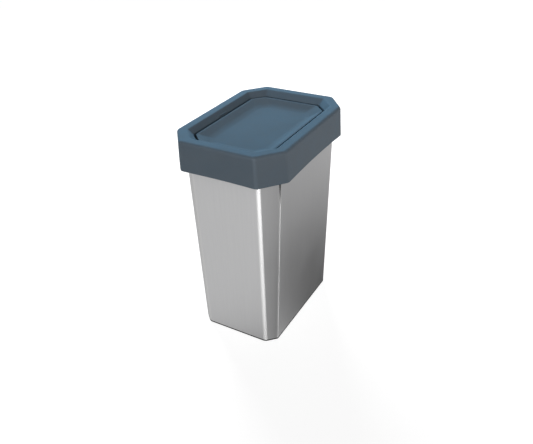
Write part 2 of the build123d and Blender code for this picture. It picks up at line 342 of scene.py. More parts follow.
def draw_loop(outline: Outline, height: float) -> Piece:
    """Draws an outline as a closed loop of edges: a plane, its corners cut and then rounded.

    Args:
        outline: the outline to draw.
        height: its height in millimetres.

    Returns:
        The new object.
    """
    clear_selection()
    bpy.ops.mesh.primitive_plane_add(size=1, location=(0, 0, height * MM))
    loop = bpy.context.object
    squash = outline.cut[0] / outline.cut[1]
    width, length = (2 * size * MM for size in outline.half)
    bpy.ops.object.mode_set(mode="EDIT")
    bpy.ops.mesh.select_all(action="SELECT")
    bpy.ops.transform.resize(value=(width, length * squash, 1))
    bpy.ops.mesh.bevel(affect="VERTICES", offset_type="OFFSET", offset=outline.cut[0] * MM, segments=1)
    bpy.ops.transform.resize(value=(1, 1 / squash, 1))
    for corners, side in outline.corners():
        pick(loop, "VERT", lambda v: any((v.xy - corner).length < TOUCH for corner in corners))
        bpy.ops.mesh.bevel(
            affect="VERTICES", offset_type="OFFSET", offset=side * MM, segments=CORNER_SEGMENTS, profile=0.5)
    bpy.ops.mesh.select_all(action="SELECT")
    bpy.ops.mesh.delete(type="ONLY_FACE")
    hx, hy = outline.half
    pick(loop, "EDGE", lambda v: abs(abs(v.x) - hx) < TOUCH or abs(abs(v.y) - hy) < TOUCH)
    bpy.ops.mesh.subdivide(number_cuts=SIDE_CUTS)
    bpy.ops.object.mode_set(mode="OBJECT")
    return settle()


def weld(pieces: list[Piece]) -> Piece:
    """Joins objects into the first one.

    Args:
        pieces: the objects, the first of which stays.

    Returns:
        The first object, with every mesh in it.
    """
    take(pieces[0])
    for piece in pieces[1:]:
        piece.select_set(True)
    if len(pieces) > 1:
        bpy.ops.object.join()
    return bpy.context.view_layer.objects.active


def bridge_loops(name: str, profile: list[Ring], capped: bool = False) -> Piece:
    """Makes a shell by bridging outlines one after the other.

    The outlines are drawn far apart, bridged, and then each is moved to its height, because
    outlines at one height have no side that faces the next.

    Args:
        name: name of the new piece.
        profile: outlines and their heights in millimetres, in the order of the walls.
        capped: True closes the first and last outline with a face each, False bridges the last
            outline back to the first.

    Returns:
        The closed shell, its faces pointing outwards.
    """
    loops = []
    for index, (outline, _) in enumerate(profile):
        loop = draw_loop(outline, index * LOOP_SPACING)
        tag = loop.data.attributes.new("loop", "INT", "POINT")
        tag.data.foreach_set("value", [index] * len(loop.data.vertices))
        loops.append(loop)
    count = len(loops)
    shell = weld(loops)
    shell.name = shell.data.name = name

    def pick_loops(*chosen: int) -> None:
        """Selects the edges that lie along some of the outlines.

        Args:
            chosen: numbers of the outlines, counted from 0.
        """
        bpy.ops.mesh.select_all(action="DESELECT")
        mesh = bmesh.from_edit_mesh(shell.data)
        tag = mesh.verts.layers.int["loop"]
        for edge in mesh.edges:
            first, last = (vertex[tag] for vertex in edge.verts)
            edge.select = first == last and first in chosen
        mesh.select_flush_mode()
        bmesh.update_edit_mesh(shell.data)

    with editing(shell):
        bpy.ops.mesh.select_mode(type="EDGE")
        for index in range(count - 1):
            pick_loops(index, index + 1)
            bpy.ops.mesh.bridge_edge_loops()
        if capped:
            for index in (0, count - 1):
                pick_loops(index)
                bpy.ops.mesh.edge_face_add()
        else:
            pick_loops(count - 1, 0)
            bpy.ops.mesh.bridge_edge_loops()
        for index, (_, height) in enumerate(profile):
            pick_loops(index)
            bpy.ops.transform.translate(value=(0, 0, (height - index * LOOP_SPACING) * MM))
        bpy.ops.mesh.select_all(action="SELECT")
        bpy.ops.mesh.normals_make_consistent(inside=False)
    shell.data.attributes.remove(shell.data.attributes["loop"])
    return shell


def block(x: Pair, y: Pair, z: Pair) -> Piece:
    """Adds a box.

    Args:
        x: its two ends along X in millimetres.
        y: its two ends along Y.
        z: its two ends along Z.

    Returns:
        The box.
    """
    clear_selection()
    middle = [(low + high) / 2 * MM for low, high in (x, y, z)]
    size = [(high - low) * MM for low, high in (x, y, z)]
    bpy.ops.mesh.primitive_cube_add(size=1, location=middle, scale=size)
    return settle()


def cylinder(radius: float, length: float, middle: Triple, tilt: float = 0) -> Piece:
    """Adds a cylinder.

    Args:
        radius: its radius in millimetres.
        length: its length.
        middle: its middle.
        tilt: its turn about Y in degrees, 0 for an upright one.

    Returns:
        The cylinder.
    """
    clear_selection()
    bpy.ops.mesh.primitive_cylinder_add(
        vertices=ROUND_FACETS, radius=radius * MM, depth=length * MM,
        rotation=(0, math.radians(tilt), 0), location=[value * MM for value in middle])
    return settle()


def rod(radius: float, low: float, high: float, height: float) -> Piece:
    """Adds a cylinder along X between two x values, at y = 0 and a height, in millimetres."""
    return cylinder(radius, high - low, ((low + high) / 2, 0, height), tilt=90)


def with_twin(piece: Piece) -> list[Piece]:
    """A piece and its copy on the other side of the upright axis."""
    return [piece, copy_at(piece, 180)]


def copy_at(piece: Piece, turn: float = 0, move: Triple = (0, 0, 0)) -> Piece:
    """Copies a piece with its own mesh.

    Args:
        piece: the piece to copy.
        turn: turn about the upright axis in degrees, made after the move.
        move: move in millimetres.

    Returns:
        The copy, its place in its mesh.
    """
    clear_selection()
    twin = piece.copy()
    twin.data = piece.data.copy()
    bpy.context.scene.collection.objects.link(twin)
    twin.matrix_world = Matrix.Rotation(math.radians(turn), 4, "Z") @ Matrix.Translation(Vector(move) * MM)
    take(twin)
    return settle()


def combine(piece: Piece, how: Join, tools: list[Piece]) -> None:
    """Adds separate solids to a piece or cuts them out of it, and uses them up.

    Args:
        piece: the piece to change.
        how: add or cut.
        tools: solids that don't touch one another.
    """
    tool = weld(tools)
    take(piece)
    bpy.ops.object.modifier_add(type="BOOLEAN")
    modifier = piece.modifiers[-1]
    modifier.operation = how.value
    modifier.solver = "EXACT"
    modifier.object = tool
    bpy.ops.object.modifier_apply(modifier=modifier.name)
    bpy.data.objects.remove(tool)


def cut_across(piece: Piece, place: Point, normal: Point, keep: Half = Half.BOTH) -> None:
    """Cuts a piece with a plane, and where one side is dropped closes the cut.

    Args:
        piece: the piece to cut.
        place: a point of the plane in millimetres.
        normal: the plane's normal.
        keep: the side that stays, ABOVE being where the normal points.
    """
    with editing(piece):
        bpy.ops.mesh.select_all(action="SELECT")
        bpy.ops.mesh.bisect(
            plane_co=Vector(place) * MM, plane_no=normal, use_fill=keep is not Half.BOTH,
            clear_inner=keep is Half.ABOVE, clear_outer=keep is Half.BELOW)
        bpy.ops.mesh.select_all(action="SELECT")
        bpy.ops.mesh.delete_loose()


def smooth(piece: Piece) -> Piece:
    """Shades a piece smooth up to an angle, with flat faces kept flat.

    Args:
        piece: the piece.

    Returns:
        The same piece.
    """
    take(piece)
    bpy.ops.object.shade_smooth_by_angle(angle=math.radians(SMOOTH_ANGLE))
    bpy.ops.object.modifier_add(type="WEIGHTED_NORMAL")
    modifier = piece.modifiers[-1]
    modifier.keep_sharp = True
    modifier.weight = FLAT_WEIGHT
    bpy.ops.object.modifier_apply(modifier=modifier.name)
    return piece


# Shader maths


class Signal:
    """A number that varies over a surface, wrapping the socket that gives it."""

    def __init__(self, sheet: "NodeSheet", socket: Socket) -> None:
        """Wraps an output socket of a node on a sheet."""
        self.sheet = sheet
        self.socket = socket

    def __add__(self, other: "Signal | float") -> "Signal":
        """Sum."""
        return self.sheet.maths("ADD", self, other)

    def __radd__(self, other: float) -> "Signal":
        """Sum with a number on the left."""
        return self.sheet.maths("ADD", other, self)

    def __sub__(self, other: "Signal | float") -> "Signal":
        """Difference."""
        return self.sheet.maths("SUBTRACT", self, other)

    def __rsub__(self, other: float) -> "Signal":
        """Difference from a number."""
        return self.sheet.maths("SUBTRACT", other, self)

    def __mul__(self, other: "Signal | float") -> "Signal":
        """Product."""
        return self.sheet.maths("MULTIPLY", self, other)

    def __rmul__(self, other: float) -> "Signal":
        """Product with a number on the left."""
        return self.sheet.maths("MULTIPLY", other, self)

    def root(self) -> "Signal":
        """Square root."""
        return self.sheet.maths("SQRT", self)

    def swing(self, amount: float) -> "Signal":
        """How far the value lies from 0.5, times an amount."""
        return amount * (self - 0.5)

    def step(self, low: float, high: float) -> "Signal":
        """Rises smoothly from 0 to 1 while the value goes from low to high."""
        inputs = {"Value": self, "From Min": low, "From Max": high}
        return self.sheet.signal("Result", "ShaderNodeMapRange", {"interpolation_type": "SMOOTHSTEP"}, inputs)


class NodeSheet:
    """The node tree of a new material or world, with the few ways in which its nodes are added."""

    def __init__(self, owner: Material | bpy.types.World) -> None:
        """Starts with the owner's tree empty.

        Args:
            owner: the material or world.
        """
        self.owner = owner
        owner.use_nodes = True
        self.tree = owner.node_tree
        self.tree.nodes.clear()

    def node(self, kind: str, settings: dict[str, Any], inputs: dict[Any, Any]) -> bpy.types.Node:
        """Adds a node.

        Args:
            kind: the node's type.
            settings: its properties, set first.
            inputs: values or links of its sockets, by name or number.

        Returns:
            The new node.
        """
        node = self.tree.nodes.new(kind)
        for key, value in settings.items():
            setattr(node, key, value)
        for key, value in inputs.items():
            socket = node.inputs[key]
            if isinstance(value, Signal):
                value = value.socket
            if isinstance(value, Socket):
                self.tree.links.new(value, socket)
            else:
                socket.default_value = value
        return node

    def signal(
            self, output: str | int, kind: str, settings: dict[str, Any], inputs: dict[Any, Any]) -> Signal:
        """Adds a node and wraps one of its outputs."""
        return Signal(self, self.node(kind, settings, inputs).outputs[output])

    def maths(self, operation: str, *values: Signal | float) -> Signal:
        """Applies a Math node's operation to values."""
        return self.signal(0, "ShaderNodeMath", {"operation": operation}, dict(enumerate(values)))

    def place(self) -> Socket:
        """The surface's own coordinates in metres."""
        return self.node("ShaderNodeTexCoord", {}, {}).outputs["Object"]

    def axis(self, name: str) -> Signal:
        """One coordinate of the surface, in millimetres."""
        return self.signal(name, "ShaderNodeSeparateXYZ", {}, {"Vector": self.place()}) * (1 / MM)

    def noise(self, waves: Triple, detail: float = 2, roughness: float = 0.5) -> Signal:
        """Noise over the surface.

        Args:
            waves: number of waves per metre along each axis.
            detail: number of finer layers.
            roughness: strength of each finer layer.

        Returns:
            The noise, from 0 to 1 around 0.5.
        """
        place = self.node("ShaderNodeMapping", {}, {"Vector": self.place(), "Scale": waves}).outputs["Vector"]
        inputs = {"Vector": place, "Scale": 1, "Detail": detail, "Roughness": roughness}
        return self.signal("Fac", "ShaderNodeTexNoise", {}, inputs)

    def ray(self, kind: str) -> Signal:
        """Whether the ray is a "Camera", "Glossy" or "Diffuse" one, as 1 or 0."""
        return self.signal(f"Is {kind} Ray", "ShaderNodeLightPath", {}, {})

    def attribute(self, name: str) -> Signal:
        """A named attribute of the mesh."""
        return self.signal("Fac", "ShaderNodeAttribute", {"attribute_name": name}, {})

    def tint(self, share: "Signal", low: Colour, high: Colour) -> Socket:
        """Mixes two colours.

        Args:
            share: 0 gives low and 1 gives high.
            low: the first colour, linear, or a socket that gives one.
            high: the second colour.

        Returns:
            The socket with the mixed colour.
        """
        low, high = ((*end, 1) if isinstance(end, tuple) else end for end in (low, high))
        inputs = {0: share, 6: low, 7: high}
        return self.node("ShaderNodeMix", {"data_type": "RGBA", "clamp_factor": True}, inputs).outputs[2]

    def bump(self, height: Signal, depth: float) -> Socket:
        """Turns a relief from 0 to 1, with its depth in millimetres, into a normal."""
        inputs = {"Height": height, "Distance": depth * MM, "Strength": 1}
        return self.node("ShaderNodeBump", {}, inputs).outputs["Normal"]

    def finish(self, inputs: dict[str, Any]) -> Material:
        """Closes the material with its surface shader.

        Args:
            inputs: values or links of the shader's sockets.

        Returns:
            The material.
        """
        shader = self.node("ShaderNodeBsdfPrincipled", {"distribution": "MULTI_GGX"}, inputs)
        self.node("ShaderNodeOutputMaterial", {}, {"Surface": shader.outputs["BSDF"]})
        return self.owner


# Finishes


def varied(colour: Triple, amount: float) -> tuple[Triple, Triple]:
    """A colour made darker and lighter by a share."""
    return tuple(tuple(channel * (1 + way * amount) for channel in colour) for way in (-1, 1))


@dataclass(frozen=True)
class BrushedSteel:
    """Stainless sheet brushed from top to bottom, with a painted highlight where it is folded and painted
    shade at its open seams.
    """

    name: str
    colour: Triple = (0.60, 0.60, 0.605)
    # Lighter colour for the folds: a painted highlight
    fold_highlight: Triple = (0.66, 0.66, 0.66)
    # Near-black colour for the open seam's edges and the lap behind them: painted shade in the gap
    lap: Triple = (0.05, 0.05, 0.052)
    roughness: float = 0.44
    streaks: float = 0.03
    streak_edges: Pair = (0.25, 0.75)
    hair_waves: Triple = (2600, 2600, 9)
    band_waves: Triple = (330, 330, 3)
    smear_waves: Triple = (14, 14, 9)
    hair_share: float = 0.55
    grain_swing: float = 0.06
    smear_swing: float = 0.10
    brushing: float = 0.8
    brushing_turn: float = 0.25
    relief: float = 0.005

    def make(self) -> Material:
        """Builds the material.

        Returns:
            The material.
        """
        sheet = NodeSheet(bpy.data.materials.new(self.name))
        hair = sheet.noise(self.hair_waves, 3, 0.6)
        band = sheet.noise(self.band_waves, 3, 0.6)
        smear = sheet.noise(self.smear_waves, 3, 0.5)
        grain = self.hair_share * hair + (1 - self.hair_share) * band
        fold = sheet.attribute("fold")
        seam = sheet.attribute("seam")
        plain = sheet.tint(grain.step(*self.streak_edges), *varied(self.colour, self.streaks))
        # Painted highlight: the folds take the lighter colour
        bent = sheet.tint(fold, plain, self.fold_highlight)
        # Painted shade: the open seam's edges and the lap behind them go near-black
        colour = sheet.tint(seam, bent, self.lap)
        return sheet.finish({
            "Base Color": colour,
            "Metallic": 1.0,
            "Roughness": self.roughness + grain.swing(self.grain_swing) + smear.swing(self.smear_swing),
            "Anisotropic": self.brushing,
            "Anisotropic Rotation": self.brushing_turn,
            "Normal": sheet.bump(grain, self.relief),
        })


@dataclass(frozen=True)
class MouldedPlastic:
    """Injection-moulded plastic with a fine spark-eroded grain."""

    name: str
    colour: Triple
    roughness: float = 0.72
    shine: float = 1.0
    density: float = 1.68
    grain_depth: float = 0.02
    mottle: float = 0.10
    mottle_edges: Pair = (0.3, 0.7)
    grain_waves: Triple = (1500, 1500, 1500)
    flow_waves: Triple = (55, 55, 55)
    cloud_waves: Triple = (16, 16, 16)
    flow_share: float = 0.5
    flow_swing: float = 0.12
    grain_swing: float = 0.10

    def make(self) -> Material:
        """Builds the material.

        Returns:
            The material.
        """
        sheet = NodeSheet(bpy.data.materials.new(self.name))
        grain = sheet.noise(self.grain_waves, 2, 0.5)
        flow = sheet.noise(self.flow_waves, 4, 0.55)
        cloud = sheet.noise(self.cloud_waves, 2, 0.5)
        shade = self.flow_share * flow + (1 - self.flow_share) * cloud
        return sheet.finish({
            "Base Color": sheet.tint(shade.step(*self.mottle_edges), *varied(self.colour, self.mottle)),
            "Roughness": self.roughness + flow.swing(self.flow_swing) + grain.swing(self.grain_swing),
            "IOR": self.density,
            "Specular IOR Level": self.shine,
            "Normal": sheet.bump(grain, self.grain_depth),
        })


@dataclass(frozen=True)
class FootRubber:
    """Soft black rubber with dust in its pores."""

    name: str
    colour: Triple = (0.022, 0.022, 0.024)
    dust: Triple = (0.06, 0.058, 0.055)
    dust_edges: Pair = (0.45, 0.8)
    dust_waves: Triple = (90, 90, 90)
    pore_waves: Triple = (900, 900, 900)
    pore_depth: float = 0.03
    roughness: float = 0.8
    pore_swing: float = 0.15

    def make(self) -> Material:
        """Builds the material.

        Returns:
            The material.
        """
        sheet = NodeSheet(bpy.data.materials.new(self.name))
        pores = sheet.noise(self.pore_waves, 3, 0.6)
        dust = sheet.noise(self.dust_waves, 3, 0.5)
        return sheet.finish({
            "Base Color": sheet.tint(dust.step(*self.dust_edges), self.colour, self.dust),
            "Roughness": self.roughness + pores.swing(self.pore_swing),
            "Normal": sheet.bump(pores, self.pore_depth),
        })


@dataclass(frozen=True)
class DrawnBar:
    """Drawn steel bar with fine rings left by the die, for the pins across the can."""

    name: str
    oiled: Triple = (0.46, 0.46, 0.47)
    bare: Triple = (0.62, 0.62, 0.63)
    ring_waves: Triple = (2400, 60, 60)
    oil_waves: Triple = (120, 120, 120)
    ring_depth: float = 0.006
    roughness: float = 0.30
    ring_swing: float = 0.14
    oil_swing: float = 0.10

    def make(self) -> Material:
        """Builds the material.

        Returns:
            The material.
        """
        sheet = NodeSheet(bpy.data.materials.new(self.name))
        rings = sheet.noise(self.ring_waves, 2, 0.5)
        oil = sheet.noise(self.oil_waves, 3, 0.5)
        return sheet.finish({
            "Base Color": sheet.tint(oil, self.oiled, self.bare),
            "Metallic": 1.0,
            "Roughness": self.roughness + rings.swing(self.ring_swing) + oil.swing(self.oil_swing),
            "Normal": sheet.bump(rings, self.ring_depth),
        })


# Pieces


@dataclass
class SubAssembly:
    """What every sub-assembly shares: placing its pieces on their body and reporting them."""

    body: Body
    pieces: list[Piece] = field(default_factory=list, init=False)

    def place(self, piece: Piece, node: str, slot: Slot, material: Material) -> None:
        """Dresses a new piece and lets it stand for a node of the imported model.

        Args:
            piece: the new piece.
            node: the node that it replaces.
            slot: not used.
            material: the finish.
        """
        piece.data.materials.clear()
        piece.data.materials.append(material)
        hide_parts(node)
        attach(piece, self.body.value)
        self.pieces.append(piece)

    def dress(self, node: str, material: Material) -> None:
        """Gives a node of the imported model, whose shape stays, a better material.

        Args:
            node: the node.
            material: the finish.
        """
        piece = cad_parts[node]
        if not piece.material_slots:
            piece.data.materials.append(material)
        for slot in piece.material_slots:
            slot.material = material
        self.pieces.append(piece)

    def report(self) -> None:
        """Logs each piece with its body and number of faces."""
        for piece in self.pieces:
            log.info("%s: %s, %d faces", self.body.value, piece.name, len(piece.data.polygons))


@dataclass
class SteelBody(SubAssembly):
    """The tapering can: two sheets folded to one section, the trim on their edge, floor and base.

    Outlines are measured at the floor (foot) and at the hood's lower edge (skirt). seam_shade is how
    far the painted shade on the sheets' edges reaches in front of the seam and behind it, as shares of
    the seam's radius.
    lap_margins keep the lap clear of the floor's flange and of the trim. pad_lip holds the two insets
    of a foot's sole.
    """

    body: Body = Body.CAN
    foot: Outline = Outline((76.8, 115.4), (16.9, 16.9), 12.0, 3.5)
    skirt: Outline = Outline((88.6, 123.4), (26.2, 26.2), 12.0, 3.5)
    skirt_height: float = 328.0
    thickness: float = 0.8
    bottom: float = 3.6
    top: float = 372.0
    fold_share: float = 0.27
    seam_gap: float = 0.3
    seam_opening: float = 3.4
    seam_opening_low: float = 280.0
    seam_shade: Pair = (0.2, 0.3)
    lap_width: float = 12.0
    lap_overlap: float = 2.4
    lap_inset: float = 0.08
    lap_margins: Pair = (5.0, 2.0)
    trim_wall: float = 1.5
    trim_drop: float = 10.0
    trim_radius: float = 0.5
    base_bottom: float = 0.8
    base_upstand: float = 10.0
    base_wall: float = 2.0
    base_radius: float = 0.3
    base_flange: float = 20.0
    base_inner_cut: float = 34.0
    pan_flange: float = 10.0
    pan_inset: float = 24.0
    pan_rise: float = 3.0
    pan_cut: float = 18.0
    pan_radius: float = 9.0
    pad_centre: Pair = (62.0, 97.0)
    pad_radius: float = 7.5
    pad_sunk: float = 0.8
    pad_lip: Pair = (2.2, 0.3)
    pad_dish: float = 0.25
    pad_edge: float = 0.35

    @property
    def form(self) -> Taper:
        """The can's outer form, set at the floor and at the lower edge of the hood's skirt."""
        return Taper(self.foot, self.skirt, (0.0, self.skirt_height))

    def seam(self) -> float:
        """Y of the seams, which follow the folds between the front corner faces and the sides."""
        outline = self.form.section(self.top)
        return outline.cut[1] - outline.half[1]

    def wall(self, name: str, low: float, high: float, inset: float = 0.0) -> Piece:
        """A closed ring of sheet along the can's walls between two heights."""
        ring, inner = self.form.ring, inset + self.thickness
        return bridge_loops(name, [ring(low, inset), ring(high, inset), ring(high, inner), ring(low, inner)])

    def inside(self, height: float, inset: float, cut: float, radius: float) -> Outline:
        """An outline inside the can with corner cuts and a radius of its own."""
        return replace(self.form.section(height, inset), cut=(cut, cut), radius=radius, seam_radius=None)

    def fold_mask(self, place: Vector) -> float:
        """Where a sheet is folded, the place of the painted highlight.

        Args:
            place: a place on it in millimetres.

        Returns:
            1 on a fold and 0 beside it.
        """
        side, end, corner = self.form.section(place.z).depths(place.x, place.y)
        at_seam = place.y < 0 and side > end
        radius = self.foot.seam_radius if at_seam else self.foot.radius
        nearest_fold = sorted((side, end, corner))[1]
        return 1.0 if nearest_fold > -self.fold_share * radius else 0.0

    def opening(self, height: float) -> float:
        """How far the front sheet's edge stands back from the seam at a height, along X and Y."""
        share = (height - self.seam_opening_low) / (self.top - self.seam_opening_low)
        return self.seam_opening * max(share, 0.0)

    def painted_seam_shade(self, place: Vector) -> float:
        """Painted shade on the sheets' edges where the seam opens, darker up towards the hood.

        Args:
            place: a place on a sheet in millimetres.

        Returns:
            0 where the seam is shut, 1 below the hood.
        """
        across = place.y - self.seam()
        front, rear = (share * self.foot.seam_radius for share in self.seam_shade)
        if not -self.opening(place.z) - front < across < rear:
            return 0.0
        return max(place.z - self.seam_opening_low, 0.0) / (self.skirt_height - self.seam_opening_low)

    def mark(self, sheet: Piece, name: str, mask: Callable[[Vector], float]) -> None:
        """Writes a mask, a function of the place in millimetres, to an attribute."""
        tag = sheet.data.attributes.new(name, "FLOAT", "POINT")
        tag.data.foreach_set("value", [mask(vertex.co / MM) for vertex in sheet.data.vertices])

    def build(self, steel: Material, trim: Material, base: Material, rubber: Material) -> None:
        """Makes and places every piece of the can.

        Args:
            steel: finish of the sheets and the floor.
            trim: finish of the channel on their top edge.
            base: finish of the base frame.
            rubber: finish of the feet.
        """
        self.place(self.front_sheet(), "front_panel", Slot.CAN_STEEL, steel)
        self.place(self.rear_sheet(), "rear_wrap", Slot.CAN_STEEL, steel)
        self.place(self.floor_pressing(), "floor_pan", Slot.CAN_STEEL, steel)
        self.place(self.edge_channel(), "rim_trim", Slot.TRIM_PLASTIC, trim)
        self.place(self.base_frame(), "base_ring", Slot.BASE_PLASTIC, base)
        first = self.pad()
        for end, y in (("front", -1), ("rear", 1)):
            for side, x in (("left", -1), ("right", 1)):
                pad = copy_at(first, move=(x * self.pad_centre[0], y * self.pad_centre[1], 0))
                pad.name = pad.data.name = f"foot_pad_{end}_{side}"
                self.place(pad, f"foot_{end}_{side}", Slot.FOOT_RUBBER, rubber)
        bpy.data.objects.remove(first)

    def sheet_part(self, name: str, edge: float, keep: Half) -> Piece:
        """The walls on one side of the seams, with edges at the height where these start to open.

        Args:
            name: name of the new piece.
            edge: y of the cut along the seams.
            keep: the side of the cut that stays.

        Returns:
            The sheet.
        """
        sheet = self.wall(name, self.bottom, self.top)
        cut_across(sheet, (0, edge, 0), (0, 1, 0), keep)
        cut_across(sheet, (0, 0, self.seam_opening_low), (0, 0, 1))
        return sheet

    def front_sheet(self) -> Piece:
        """Front sheet: the narrow front and both front corner faces, cut off at the seams.

        Returns:
            The sheet.
        """
        edge = self.seam() - self.seam_gap / 2
        sheet = self.sheet_part("front_sheet", edge, Half.BELOW)
        along_seam = edge - self.foot.seam_radius / 2
        heights = sorted({
            round(vertex.co.z / MM, 2) for vertex in sheet.data.vertices
            if vertex.co.y / MM > along_seam and vertex.co.z / MM > self.seam_opening_low + TOUCH})
        for height in heights:
            opening = self.opening(height)
            for side in (-1, 1):
                shift(
                    sheet,
                    lambda v: v.y > along_seam and v.x * side > 0 and abs(v.z - height) < TOUCH,
                    (-side * opening, -opening, 0))
        # Marks the folds for their painted highlight
        self.mark(sheet, "fold", self.fold_mask)
        # Painted shade on the seam's edges, rising up to the hood
        self.mark(sheet, "seam", self.painted_seam_shade)
        return smooth(sheet)

    def rear_sheet(self) -> Piece:
        """Rear sheet: sides, back and rear corner faces, with a joggled lap behind each seam.

        Returns:
            The sheet.
        """
        edge = self.seam() + self.seam_gap / 2
        sheet = self.sheet_part("rear_sheet", edge, Half.ABOVE)
        lap_low = self.bottom + self.base_upstand + self.pan_flange + self.lap_margins[0]
        lap_high = self.top - self.trim_drop - self.lap_margins[1]
        lap = self.wall("lap", lap_low, lap_high, self.thickness - self.lap_inset)
        cut_across(lap, (0, edge - self.lap_width, 0), (0, 1, 0), Half.ABOVE)
        cut_across(lap, (0, edge + self.lap_overlap, 0), (0, 1, 0), Half.BELOW)
        # Painted shade on the seam's edges, and on the whole lap behind them
        self.mark(sheet, "seam", self.painted_seam_shade)
        self.mark(lap, "seam", lambda place: 1.0)
        sheet = weld([sheet, lap])
        # Marks the folds for their painted highlight
        self.mark(sheet, "fold", self.fold_mask)
        return smooth(sheet)

    def floor_pressing(self) -> Piece:
        """Pressed floor: a flange turned up against the walls and a raised middle panel.

        Returns:
            The floor.
        """
        low = self.bottom + self.base_upstand
        high, under = low + self.pan_flange, low + self.thickness
        outer, inner = self.thickness, 2 * self.thickness
        panel = self.inside(low, self.pan_inset, self.pan_cut, self.pan_radius)
        crest = panel.grown(-self.pan_rise, self.pan_radius)
        ring = self.form.ring
        return smooth(bridge_loops("floor_pressing", [
            (crest, low + self.pan_rise), (panel, low), ring(low, outer), ring(high, outer),
            ring(high, inner), ring(under, inner), (panel, under), (crest, under + self.pan_rise)],
            capped=True))

    def edge_channel(self) -> Piece:
        """Channel moulding pressed over the raw top edge of both sheets.

        Returns:
            The channel.
        """
        low, high = self.top - self.trim_drop, self.top + self.trim_wall
        outer, inner = -self.trim_wall, self.thickness + self.trim_wall
        ring = self.form.ring
        channel = bridge_loops("edge_channel", [
            ring(low, outer), ring(high, outer), ring(high, inner), ring(low, inner),
            ring(low, self.thickness), ring(self.top, self.thickness), ring(self.top), ring(low)])
        bevel_rings(channel, *((*ring(high, inset), self.trim_radius, 2) for inset in (outer, inner)))
        return smooth(channel)

    def base_frame(self) -> Piece:
        """Moulded base frame: flat flange under the sheets' edge, upstand inside it, foot recesses.

        Returns:
            The base frame.
        """
        low, flange, high = self.base_bottom, self.bottom, self.bottom + self.base_upstand
        outer, inner = self.thickness, self.thickness + self.base_wall
        opening = self.inside(0, self.base_flange, self.base_inner_cut, self.foot.radius)
        ring = self.form.ring
        base = bridge_loops("base_frame", [
            ring(low), ring(flange), ring(flange, outer), ring(high, outer), ring(high, inner),
            ring(flange, inner), (opening, flange), (opening, low)])
        bevel_rings(base, (*ring(low), self.base_radius, 2))
        x, y = self.pad_centre
        combine(base, Join.CUT, [
            cylinder(self.pad_radius, 2 * self.pad_sunk, (side * x, end * y, low))
            for side in (-1, 1) for end in (-1, 1)])
        return smooth(base)

    def pad(self) -> Piece:
        """One rubber foot at the origin: a disc with a rounded sole edge and a dished sole.

        Returns:
            The foot.
        """
        height = self.base_bottom + self.pad_sunk
        pad = cylinder(self.pad_radius, height, (0, 0, height / 2))
        with editing(pad):
            pick(pad, "FACE", lambda v: v.z < TOUCH)
            for inset in self.pad_lip:
                bpy.ops.mesh.inset(thickness=inset * MM)
            bpy.ops.transform.translate(value=(0, 0, self.pad_dish * MM))
        bevel(pad, lambda v: v.z < TOUCH and v.xy.length > self.pad_radius - TOUCH, self.pad_edge)
        return smooth(pad)


